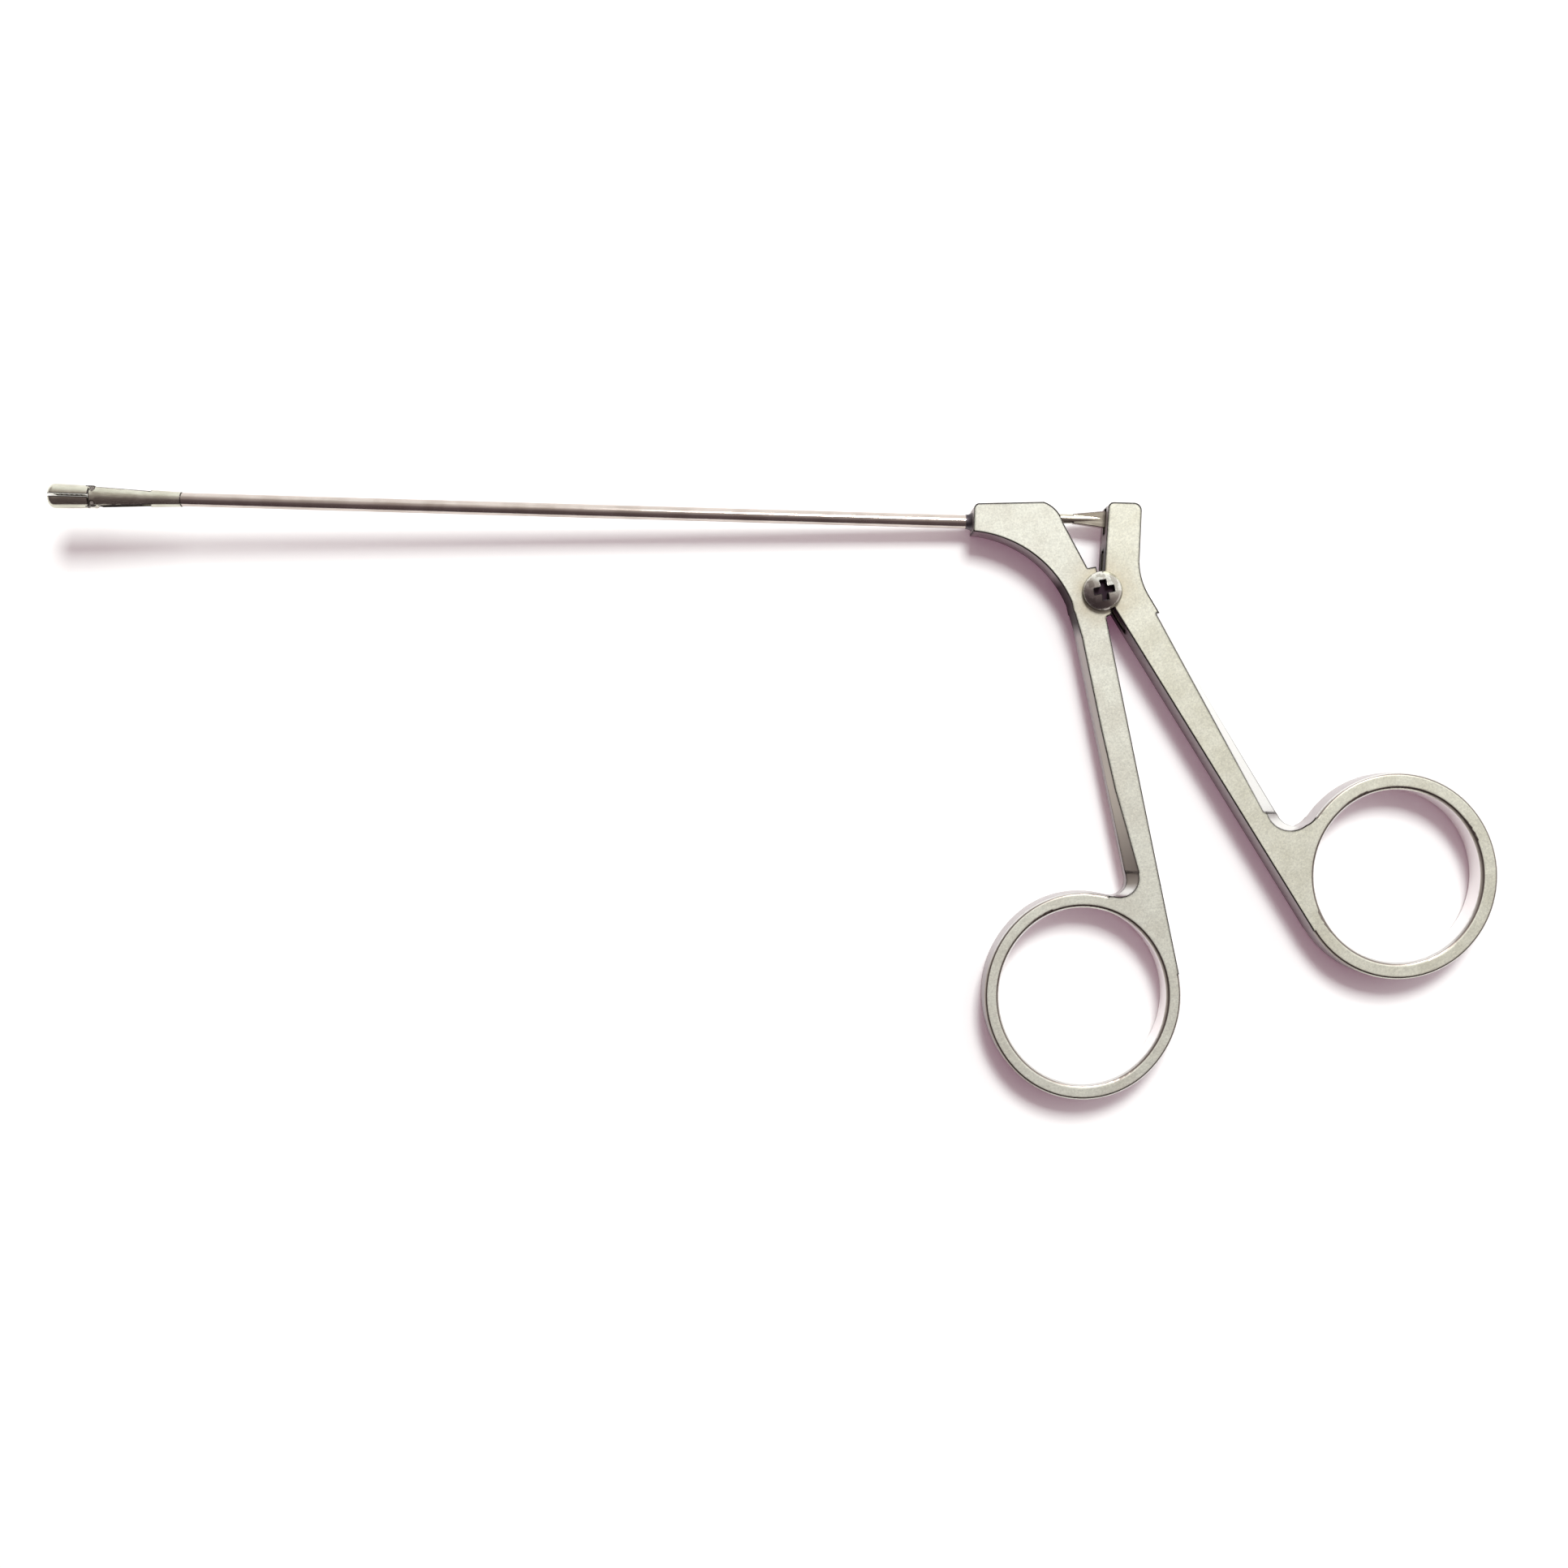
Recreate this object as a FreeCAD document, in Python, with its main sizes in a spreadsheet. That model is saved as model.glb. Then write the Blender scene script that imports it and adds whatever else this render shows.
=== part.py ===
"""Ring-handled grasping forceps with a long tube shaft and double-acting jaws.

Millimetres. The forceps lies flat. The origin is where the shaft's axis meets the front
face of the handle block, +X runs back along the shaft to the handles, +Y is the side of
the block's top edge and +Z is up, square to the flat handles.
"""
import FreeCAD, Part
import math
import os
import Sketcher
from FreeCAD import Placement, Rotation, Vector

doc = FreeCAD.newDocument("grasping_forceps")
sheet = doc.addObject("Spreadsheet::Sheet", "size")
UP = Vector(0, 0, 1)

# Driving sizes, by piece. Angles are in degrees, everything else in millimetres.
SIZES = {
    # Both handles are cast from the same flat thickness and share the pivot.
    # ring_reach is the share of a ring's radius where its bar ends inside it, and
    # ring_bite how far the bar's edge runs into the ring where it would only touch. run_past
    # is how far a cut goes beyond a face, and run_in how far one form starts in another.
    "handle_thick": 5.0,
    "pivot_x": 18.15,
    "pivot_drop": 9.5,
    "tongue_thick": 1.5,
    "tongue_gap": 0.05,
    "tongue_radius": 2.6,
    "nose_radius": 2.45,
    "seat_gap": 0.1,
    "edge_land": 1.8,
    "ring_reach": 0.9,
    "ring_bite": 0.05,
    "scoop_shy": 0.1,
    "run_past": 1.0,
    "run_in": 0.2,
    "ring_edge_round": 0.5,
    "bore_edge_round": 0.65,
    # Block of the finger handle, round which the shaft is fixed.
    "block_bottom": 1.65,
    "block_top_front": 2.3,
    "block_top_rear": 2.75,
    "block_length": 9.7,
    "block_corner": 0.7,
    "slant_start_x": 12.45,
    "slant_start_y": -0.08,
    "slant_corner": 4.2,
    "lug_notch_back": 2.12,
    "lug_notch_rise": 3.17,
    "lug_top_back": 0.95,
    "lug_top_rise": 3.42,
    "seat_top_angle": 105.0,
    "seat_low_angle": -60.0,
    "lug_low_out": 1.42,
    "lug_low_drop": 3.2,
    "lug_heel_out": 0.68,
    "lug_heel_drop": 3.55,
    "under_curve": 16.5,
    "bar_start_drop": 11.2,
    # Finger ring, an upright oval, placed from the pivot.
    "finger_ring_left": 1.04,
    "finger_ring_drop": 56.5,
    "finger_ring_wide": 27.5,
    "finger_ring_tall": 29.0,
    "finger_wall_side": 2.1,
    "finger_wall_end": 2.2,
    "finger_bar_wide": 4.3,
    "finger_neck": 2.1,
    "finger_bevel_start": 12.5,
    "finger_bevel_end": 48.6,
    "finger_bevel_broad": 1.75,
    "finger_scoop_x": 1.0,
    "finger_scoop_y": 0.4,
    "finger_scoop_growth": 0.6,
    # Thumb handle: its top lever, bar and ring.
    "lever_left": 0.57,
    "lever_top": 2.98,
    "lever_corner": 0.7,
    "lever_wide": 4.65,
    "lever_back_corner": 1.1,
    "lever_waist_y": -5.2,
    "lever_waist_out": 5.1,
    "elbow_curve": 9.3,
    "elbow_out": 6.45,
    "elbow_drop": 0.2,
    "nose_top_angle": 84.0,
    "nose_low_angle": -51.0,
    "thumb_ring_right": 42.43,
    "thumb_ring_drop": 38.5,
    "thumb_ring_wide": 28.0,
    "thumb_ring_tall": 28.9,
    "thumb_wall_side": 2.4,
    "thumb_wall_end": 2.4,
    "thumb_bar_wide": 4.35,
    "thumb_neck": 2.8,
    "thumb_bevel_start": 2.6,
    "thumb_bevel_end": 30.0,
    "thumb_bevel_broad": 2.2,
    "thumb_scoop_x": -1.2,
    "thumb_scoop_y": -0.06,
    "thumb_scoop_growth": 0.7,
    "tongue_slot_back": 4.0,
    "tongue_slot_rise": 6.0,
    "tongue_slot_drop": 7.2,
    "blade_slot_back": 3.6,
    "blade_slot_rise": 1.6,
    "blade_slot_drop": 2.0,
    # Pivot screw with a pan head and a cross recess.
    "screw_shank": 3.0,
    "screw_head_wide": 5.45,
    "screw_head_tall": 2.1,
    "screw_head_rim": 0.75,
    "screw_turn": 12.0,
    "recess_long": 2.85,
    "recess_arm": 0.9,
    "recess_deep": 1.2,
    "pivot_fit": 0.03,
    # Shaft tube, its solder collar and the cavity behind it.
    "tube_outside": 1.9,
    "tube_inside": 1.4,
    "tube_seat": 4.9,
    "solder_fit": 0.01,
    "collar_long": 0.95,
    "collar_wide": 2.7,
    "collar_lip": 0.05,
    "cavity_wide": 2.3,
    # Drive rod and its rear end.
    "rod_thick": 0.96,
    "rod_rise": 0.85,
    "sleeve_front": 7.7,
    "sleeve_long": 2.0,
    "sleeve_wide": 1.9,
    "sleeve_bore_deep": 1.6,
    "neck_thick": 1.32,
    "crank_start": 0.3,
    "crank_long": 2.2,
    "flare_start": 14.2,
    "flare_end": 18.4,
    "blade_thick": 1.0,
    "blade_tall": 2.3,
    "rod_pin_thick": 1.0,
    "rod_pin_out": 2.25,
    "rod_pin_fit": 0.03,
    "rod_pin_swing": 0.3,
    "near_cheek_left": 0.9,
    # Slotted head on the far end of the tube.
    "working_length": 130.0,
    "jaw_length": 6.0,
    "head_length": 12.7,
    "head_front_wide": 3.14,
    "head_rear_wide": 2.06,
    "head_slot_wide": 1.5,
    "head_slot_long": 8.5,
    "spigot_long": 3.0,
    "spigot_bore": 1.1,
    "jaw_pin_thick": 0.6,
    "jaw_pin_apart": 2.0,
    "jaw_pin_setback": 0.42,
    "jaw_pin_long": 2.36,
    "notch_start": 0.75,
    "notch_long": 0.5,
    "notch_deep": 0.35,
    # Jaws: half-round outside, a trough with cross ridges inside, a cam tail behind.
    "jaw_wide": 3.14,
    "jaw_rest_tilt": 1.8,
    "jaw_rest_gap": 0.4,
    "jaw_seam_gap": 0.1,
    "jaw_nose": 0.97,
    "jaw_shoulder_angle": 28.0,
    "trough_wide": 1.6,
    "trough_rim": 0.8,
    "ridge_pitch": 0.7,
    "ridge_wide": 0.45,
    "ridge_shy": 0.06,
    "ridge_deep": 0.85,
    "ridge_long": 1.44,
    "shoulder_shy": 0.05,
    "lug_radius": 0.5,
    "slip": 0.02,
    "tail_inner": 0.25,
    "tail_half": 0.42,
    "cam_curve": 2.4,
    "cam_middle_x": 1.607,
    "cam_middle_y": -2.944,
    "cam_rear_angle": 49.0,
    "cam_front_angle": 105.0,
    # Drive yoke between the two tails.
    "drive_pin_back": 3.01,
    "drive_pin_thick": 0.44,
    "cam_fit": 0.04,
    "tongue_half": 0.42,
    "yoke_plate": 0.44,
    "yoke_shank_wide": 1.3,
    "yoke_shank_back": 5.98,
    "yoke_shank_long": 1.6,
    "yoke_bore_deep": 1.0,
}
RIDGES = 6
HALVINGS = 60
TOUCH = 0.01
# How a bevel widens, as shares of its length and of its full width. The finger handle's
# stays narrow for most of the bar, the thumb handle's widens evenly.
FINGER_BEVEL = ((0, 0.06), (0.1, 0.26), (0.43, 0.29), (0.68, 0.43), (0.85, 0.74), (1, 1))
THUMB_BEVEL = ((0, 0.25), (1, 1))


def fill_sheet():
    """Write the driving sizes into the sheet, one aliased cell each."""
    for row, (name, size) in enumerate(SIZES.items(), 1):
        sheet.set("A%d" % row, name)
        sheet.set("B%d" % row, str(size))
        sheet.setAlias("B%d" % row, name)
    doc.recompute()


def number(text):
    """Work out an expression of sheet values."""
    return float(sheet.evalExpression(str(text)))


def new_body(name):
    """Start a sub-part that carries its own name."""
    body = doc.addObject("PartDesign::Body", name)
    body.Label = name
    return body


def origin_plane(body, role):
    """Find one of the body's own origin planes."""
    return next(plane for plane in body.Origin.OriginFeatures if plane.Role == role)


def new_sketch(body, name, role="XY_Plane", shift=("0", "0", "0"), turn="0"):
    """Start a sketch on an origin plane, shifted and turned in the plane's own axes."""
    sketch = body.newObject("Sketcher::SketchObject", name)
    sketch.AttachmentSupport = [(origin_plane(body, role), "")]
    sketch.MapMode = "FlatFace"
    start = Vector(*[number(text) for text in shift])
    sketch.AttachmentOffset = Placement(start, Rotation(UP, number(turn)))
    for axis, text in zip("xyz", shift):
        if "size." in text:
            sketch.setExpression("AttachmentOffset.Base." + axis, text)
    if "size." in turn:
        sketch.setExpression("AttachmentOffset.Rotation.Angle", turn)
    return sketch


def pin_point(sketch, shape, place, x_text, y_text):
    """Hold one point of a sketch at a place given by two expressions."""
    for kind, text in (("DistanceX", x_text), ("DistanceY", y_text)):
        rule = Sketcher.Constraint(kind, -1, 1, shape, place, number(text))
        index = sketch.addConstraint(rule)
        if "size." in str(text):
            sketch.setExpression("Constraints[%d]" % index, text)


def set_size(sketch, kind, shape, text):
    """Give an arc or a line its size by an expression."""
    index = sketch.addConstraint(Sketcher.Constraint(kind, shape, number(text)))
    if "size." in str(text):
        sketch.setExpression("Constraints[%d]" % index, text)


def arc_between(start, end, radius, way, long_way):
    """Make the arc from start to end that turns left or right with this radius."""
    chord = end - start
    middle = (start + end) * 0.5
    rise = math.sqrt(max(radius ** 2 - chord.Length ** 2 / 4, 0))
    left = Vector(-chord.y, chord.x, 0).normalize()
    side = 1 if (way == "left") != long_way else -1
    centre = middle + left * (rise * side)
    first, last = (start, end) if way == "left" else (end, start)
    first_angle = math.atan2(first.y - centre.y, first.x - centre.x)
    last_angle = math.atan2(last.y - centre.y, last.x - centre.x)
    circle = Part.Circle(centre, UP, radius)
    return Part.ArcOfCircle(circle, first_angle, last_angle)


def is_half_turn(arc):
    """Tell whether an arc is half a circle."""
    return abs((arc.EndPoint - arc.StartPoint).Length - 2 * arc.Radius) < 1e-6


def outline(sketch, corners):
    """Draw a closed outline.

    Each corner is (x, y), or (x, y, way, radius) where an arc leaves it towards the next
    corner; a way that ends in "long" takes the arc of more than half a turn.
    """
    points = [Vector(number(corner[0]), number(corner[1]), 0) for corner in corners]
    ends = []
    for index, corner in enumerate(corners):
        start, end = points[index], points[(index + 1) % len(points)]
        if len(corner) == 2:
            shape = sketch.addGeometry(Part.LineSegment(start, end))
            ends.append((shape, 1, 2))
            continue
        way, radius = corner[2], corner[3]
        arc = arc_between(start, end, number(radius), way.split()[0], way.endswith("long"))
        shape = sketch.addGeometry(arc)
        ends.append((shape, 1, 2) if way.startswith("left") else (shape, 2, 1))
    for index, (shape, _, last) in enumerate(ends):
        following, first, _ = ends[(index + 1) % len(ends)]
        sketch.addConstraint(Sketcher.Constraint("Coincident", shape, last, following, first))
    for corner, (shape, first, _) in zip(corners, ends):
        pin_point(sketch, shape, first, corner[0], corner[1])
        # The two ends of a half turn already fix its radius.
        if len(corner) > 2 and not is_half_turn(sketch.Geometry[shape]):
            set_size(sketch, "Radius", shape, corner[3])
    return sketch


def circle(sketch, x_text, y_text, radius):
    """Draw a circle with its centre and radius held by expressions."""
    middle = Vector(number(x_text), number(y_text), 0)
    shape = sketch.addGeometry(Part.Circle(middle, UP, number(radius)))
    pin_point(sketch, shape, 3, x_text, y_text)
    set_size(sketch, "Radius", shape, radius)
    return sketch


def oval_arcs(wide, tall):
    """How an oval of four arcs is built: its end and side radii and the centres' shift.

    The arcs meet where the oval faces 45 degrees, so the shift follows from both sizes.
    """
    shift = "((%s - %s) / (4 - 2 * sqrt(2)))" % (tall, wide)
    return "(%s / 2 - %s)" % (tall, shift), "(%s / 2 + %s)" % (wide, shift), shift


def oval_joints(middle, wide, tall):
    """The four places where an oval's arcs meet, from the lower right round to the left."""
    end_radius, _, shift = oval_arcs(wide, tall)
    across = "%s / sqrt(2)" % end_radius
    up = "(%s + %s / sqrt(2))" % (shift, end_radius)
    x, y = middle
    return [(x + " + " + across, y + " - " + up), (x + " + " + across, y + " + " + up),
            (x + " - " + across, y + " + " + up), (x + " - " + across, y + " - " + up)]


def oval(sketch, middle, wide, tall):
    """Draw an oval as four arcs that run into each other smoothly."""
    end_radius, side_radius, _ = oval_arcs(wide, tall)
    radii = (side_radius, end_radius, side_radius, end_radius)
    joints = oval_joints(middle, wide, tall)
    return outline(sketch, [joint + ("left", radius) for joint, radius in zip(joints, radii)])


def oval_point(ring, wide, tall, facing):
    """The point of a ring's oval whose outside faces this angle, in radians."""
    end_radius, side_radius, shift = [number(text) for text in oval_arcs(wide, tall)]
    out = Vector(math.cos(facing), math.sin(facing), 0)
    if abs(out.x) > abs(out.y):
        centre, radius = Vector(-math.copysign(shift, out.x), 0, 0), side_radius
    else:
        centre, radius = Vector(0, math.copysign(shift, out.y), 0), end_radius
    return Vector(number(ring[0]), number(ring[1]), 0) + centre + out * radius, out


def box_corners(left, right, low, high):
    """Corners of an upright rectangle."""
    return [(left, low), (right, low), (right, high), (left, high)]


def add_feature(body, kind, name, sketch, length="", both_ways=False, reverse=False):
    """Pad or pocket a sketch by an expression; both_ways spreads it about the sketch."""
    feature = body.newObject("PartDesign::" + kind, name)
    feature.Profile = sketch
    feature.SideType = "Symmetric" if both_ways else "One side"
    feature.Reversed = reverse
    feature.Length = number(length)
    feature.setExpression("Length", length)
    sketch.Visibility = False
    doc.recompute()
    return feature


def cut(body, name, sketch, length, both_ways=False, reverse=False):
    """Pocket a sketch and make sure that it took something away."""
    before = body.Shape.Volume
    feature = add_feature(body, "Pocket", name, sketch, length, both_ways, reverse)
    if not body.Shape.Volume < before - 1e-6:
        raise ValueError(name + " cuts nothing")
    return feature


def turn_profile(body, name, sketch, axis="H_Axis"):
    """Revolve a sketch about one of its own axes."""
    feature = body.newObject("PartDesign::Revolution", name)
    feature.Profile = sketch
    feature.ReferenceAxis = (sketch, [axis])
    feature.Angle = 360.0
    doc.recompute()
    return feature


def blend(body, kind, name, sections):
    """Loft solid or cut between sketches, straight from one to the next."""
    feature = body.newObject("PartDesign::" + kind, name)
    feature.Profile = sections[0]
    feature.Sections = sections[1:]
    feature.Ruled = True
    doc.recompute()
    return feature


def round_edges(body, name, radius, wanted):
    """Fillet those edges of the body's latest solid that the test wants."""
    base = body.Tip
    names = ["Edge%d" % index for index, edge in enumerate(base.Shape.Edges, 1) if wanted(edge)]
    if not names:
        raise ValueError(name + " finds no edge")
    feature = body.newObject("PartDesign::Fillet", name)
    feature.Base = (base, names)
    feature.Radius = number(radius)
    feature.setExpression("Radius", radius)
    doc.recompute()
    return feature


def rod_between(name, radius, length, place, axis=UP):
    """Make a plain pin or rod that starts at a place and runs along an axis."""
    rod = doc.addObject("Part::Cylinder", name)
    rod.Label = name
    rod.setExpression("Radius", radius)
    rod.setExpression("Height", length)
    rod.Placement = Placement(Vector(*[number(text) for text in place]), Rotation(UP, axis))
    for letter, text in zip("xyz", place):
        rod.setExpression("Placement.Base." + letter, text)
    doc.recompute()
    return rod


# Places that several pieces share, as expressions of the sheet.
PIVOT_Y = "(-size.pivot_drop)"
SLOT_WIDE = "(size.tongue_thick + 2 * size.tongue_gap)"
SEAT_RADIUS = "(size.nose_radius + size.seat_gap)"
ROD_PIN_X = "(size.pivot_x + size.rod_pin_out)"
SEAM_X = "(size.jaw_length - size.working_length)"
JAW_PIN_X = "(size.jaw_length - size.working_length + size.jaw_pin_setback)"
HEAD_REAR_X = "(size.jaw_length - size.working_length + size.head_length)"
SLOT_END_X = "(size.jaw_length - size.working_length + size.head_slot_long)"
DRIVE_PIN_X = "(%s + size.drive_pin_back)" % JAW_PIN_X
FINGER_RING = ("(size.pivot_x - size.finger_ring_left)", "(-size.pivot_drop - size.finger_ring_drop)")
THUMB_RING = ("(size.pivot_x + size.thumb_ring_right)", "(-size.pivot_drop - size.thumb_ring_drop)")


def about_pivot(radius, angle):
    """A point at this radius and angle from the pivot."""
    return ("size.pivot_x + %s * cos(%s)" % (radius, angle),
            "%s + %s * sin(%s)" % (PIVOT_Y, radius, angle))


def halve(miss, low, high):
    """Find by halving where a function of an angle passes through nothing."""
    for _ in range(HALVINGS):
        half_way = (low + high) / 2
        if miss(low) * miss(half_way) <= 0:
            high = half_way
        else:
            low = half_way
    return low


def touch_oval(point, ring, wide, tall, side):
    """Where a line from a point touches a ring's oval, and a little way into it.

    Side is 1 where the touching point lies counter-clockwise round the oval from the side
    that faces the point, and -1 where it lies clockwise.
    """
    def miss(facing):
        touched, out = oval_point(ring, wide, tall, facing)
        return (point - touched).dot(out)

    away = point - Vector(number(ring[0]), number(ring[1]), 0)
    start = math.atan2(away.y, away.x)
    facing = halve(miss, start, start + side * math.pi / 2)
    touched, out = oval_point(ring, wide, tall, facing)
    return touched - out * number("size.ring_bite")


def neck_arc(start, along, ring, wide, tall, radius, side):
    """Round the corner between a bar's edge and a ring's oval.

    The arc has its centre outside both, on the side of the edge that side gives, 1 for
    the left of its run. Returns where it leaves the edge, where it meets the oval, and
    its centre.
    """
    arc = number(radius)
    sideways = Vector(-along.y, along.x, 0) * side

    def arc_centre(facing):
        touched, out = oval_point(ring, wide, tall, facing)
        return touched + out * arc

    def miss(facing):
        return (arc_centre(facing) - start).dot(sideways) - arc

    back = start - Vector(number(ring[0]), number(ring[1]), 0)
    first = math.atan2(back.y, back.x)
    facing = halve(miss, first, first + side * math.pi / 2)
    centre = arc_centre(facing)
    return centre - sideways * arc, oval_point(ring, wide, tall, facing)[0], centre


def plain(point):
    """A worked-out point as an outline's corner."""
    return repr(point.x), repr(point.y)


def ring_blank(body, ring, wide, tall):
    """The ring's solid oval disc with its outer edges rounded."""
    sketch = oval(new_sketch(body, "ring_outline"), ring, wide, tall)
    add_feature(body, "Pad", "ring_disc", sketch, "size.handle_thick", both_ways=True)
    round_edges(body, "ring_rounding", "size.ring_edge_round",
                lambda edge: abs(edge.CenterOfMass.z) > number("size.handle_thick") / 2 - TOUCH)


def ring_bore(body, ring, wide, tall):
    """The finger hole through the ring, with its edges rounded."""
    sketch = oval(new_sketch(body, "bore_outline"), ring, wide, tall)
    cut(body, "ring_bore", sketch, "2 * size.handle_thick", both_ways=True)
    joints = [Vector(number(x), number(y), 0) for x, y in oval_joints(ring, wide, tall)]

    def on_bore(edge):
        flat = [Vector(corner.X, corner.Y, 0) for corner in edge.Vertexes]
        at_joints = all(min((point - joint).Length for joint in joints) < TOUCH for point in flat)
        return at_joints and edge.BoundBox.ZLength < TOUCH

    round_edges(body, "bore_rounding", "size.bore_edge_round", on_bore)


def long_bevel(body, top, end, edge_at, broad, shape, outward):
    """Bevels on both faces along a bar's outer edge, wider towards the ring.

    They run from the level top down to end, where they are broad; edge_at gives the bar's
    edge at a level, and outward is the X side that it faces.
    """
    half = number("size.handle_thick") / 2
    land = number("size.edge_land") / 2
    deep = half - land
    for side, side_name in ((1, "top"), (-1, "under")):
        sections = []
        for index, (length_share, width_share) in enumerate(shape):
            level = top + (end - top) * length_share
            edge, wide = edge_at(level), number(broad) * width_share
            sketch = new_sketch(body, "bevel_%s_%d" % (side_name, index), "XZ_Plane",
                                shift=("0", "0", repr(-level)))
            corners = [(edge + outward * wide / 2, side * (land - deep / 2)),
                       (edge - outward * wide * 1.5, side * (half + deep / 2)),
                       (edge + outward * (wide + 1), side * (half + deep / 2))]
            outline(sketch, [(repr(x), repr(z)) for x, z in corners])
            sections.append(sketch)
        blend(body, "SubtractiveLoft", "bevel_" + side_name, sections)


def neck_scoop(body, centre, radius, scoop):
    """Slanted round scoops that run the bevels out against the ring on both faces.

    Scoop gives the drift in X and Y and the growth of the scoop's circle from the land at
    mid thickness, where it stays just inside the neck's arc, to the face.
    """
    half = number("size.handle_thick") / 2
    land = number("size.edge_land") / 2
    drift = Vector(number(scoop + "_x"), number(scoop + "_y"), 0)
    start, growth = number(radius + " - size.scoop_shy"), number(scoop + "_growth")
    for side, side_name in ((1, "top"), (-1, "under")):
        sections = []
        for index, share in enumerate((0, 1 + number("size.run_in"))):
            level = side * (land + (half - land) * share)
            middle = centre + drift * share
            sketch = new_sketch(body, "scoop_%s_%d" % (side_name, index),
                                shift=("0", "0", repr(level)))
            circle(sketch, repr(middle.x), repr(middle.y), repr(start + growth * share))
            sections.append(sketch)
        blend(body, "SubtractiveLoft", "scoop_" + side_name, sections)


def finger_handle():
    """Front handle: block, lug under the screw head, pivot tongue, bar and finger ring."""
    body = new_body("finger_handle")
    wide, tall = "size.finger_ring_wide", "size.finger_ring_tall"
    ring_blank(body, FINGER_RING, wide, tall)
    heel = ("size.pivot_x + size.lug_heel_out", PIVOT_Y + " - size.lug_heel_drop")
    heel_point = Vector(number(heel[0]), number(heel[1]), 0)
    right_touch = touch_oval(heel_point, FINGER_RING, wide, tall, -1)
    run = (right_touch - heel_point).normalize()
    # The bar's outer edge is parallel to the inner one, a bar's width away.
    across = Vector(run.y, -run.x, 0)
    edge_point = heel_point + across * number("size.finger_bar_wide")
    neck_top, neck_foot, neck_middle = neck_arc(
        edge_point, run, FINGER_RING, wide, tall, "size.finger_neck", -1)
    start_y = "-size.bar_start_drop"
    start_x = edge_point.x + run.x * (number(start_y) - edge_point.y) / run.y
    ring_middle = Vector(number(FINGER_RING[0]), number(FINGER_RING[1]), 0)
    reach = number("size.ring_reach")
    sketch = outline(new_sketch(body, "bar_outline"), [
        ("0", "-size.block_bottom"),
        ("0", "size.block_top_front - size.block_corner", "right", "size.block_corner"),
        ("size.block_corner", "size.block_top_front"),
        ("size.block_length", "size.block_top_rear", "right", "size.slant_corner"),
        ("size.slant_start_x", "size.slant_start_y"),
        ("size.pivot_x - size.lug_notch_back", PIVOT_Y + " + size.lug_notch_rise"),
        ("size.pivot_x - size.lug_top_back", PIVOT_Y + " + size.lug_top_rise"),
        about_pivot("size.tongue_radius", "size.seat_top_angle") + ("right", "size.tongue_radius"),
        about_pivot("size.tongue_radius", "size.seat_low_angle"),
        ("size.pivot_x + size.lug_low_out", PIVOT_Y + " - size.lug_low_drop"),
        heel,
        plain(right_touch),
        plain(ring_middle + (right_touch - ring_middle) * reach),
        plain(ring_middle + (neck_foot - ring_middle) * reach),
        plain(neck_foot) + ("left", "size.finger_neck"),
        plain(neck_top),
        (repr(start_x), start_y, "left", "size.under_curve"),
    ])
    add_feature(body, "Pad", "block_and_bar", sketch, "size.handle_thick", both_ways=True)
    ring_bore(body, FINGER_RING, "(%s - 2 * size.finger_wall_side)" % wide,
              "(%s - 2 * size.finger_wall_end)" % tall)

    def bar_edge(level):
        return edge_point.x + run.x * (level - edge_point.y) / run.y

    top, end = -number("size.finger_bevel_start"), -number("size.finger_bevel_end")
    long_bevel(body, top, end, bar_edge, "size.finger_bevel_broad", FINGER_BEVEL, -1)
    neck_scoop(body, neck_middle, "size.finger_neck", "size.finger_scoop")
    for side, side_name in ((1, "top"), (-1, "under")):
        sketch = new_sketch(body, "seat_" + side_name,
                            shift=("0", "0", "%d * size.tongue_thick / 2" % side))
        outline(sketch, [
            about_pivot(SEAT_RADIUS, "size.seat_top_angle") + ("left long", SEAT_RADIUS),
            about_pivot(SEAT_RADIUS, "size.seat_low_angle"),
            ("size.pivot_x + size.tongue_radius + size.run_past", PIVOT_Y + " - size.tongue_radius"),
            ("size.pivot_x + size.tongue_radius + size.run_past",
             PIVOT_Y + " + size.tongue_radius + size.run_past"),
            ("size.pivot_x", PIVOT_Y + " + size.tongue_radius + size.run_past"),
        ])
        cut(body, "seat_cut_" + side_name, sketch, "size.handle_thick", reverse=side > 0)
    sketch = circle(new_sketch(body, "pivot_hole"), "size.pivot_x", PIVOT_Y,
                    "size.screw_shank / 2 + size.pivot_fit")
    cut(body, "pivot_bore", sketch, "2 * size.handle_thick", both_ways=True)
    sketch = circle(new_sketch(body, "tube_hole", "YZ_Plane"), "0", "0",
                    "size.tube_outside / 2 + size.solder_fit")
    cut(body, "tube_bore", sketch, "size.tube_seat + size.cavity_wide / 2", reverse=True)
    half = "size.cavity_wide / 2"
    sketch = outline(new_sketch(body, "cavity_outline", "YZ_Plane", shift=("0", "0", "size.tube_seat")), [
        ("0", half, "left", half),
        ("0", "-" + half),
        ("size.rod_rise", "-" + half, "left", half),
        ("size.rod_rise", half),
    ])
    cut(body, "rod_cavity", sketch, "size.pivot_x - size.tube_seat - size.tongue_radius", reverse=True)
    return body


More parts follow.
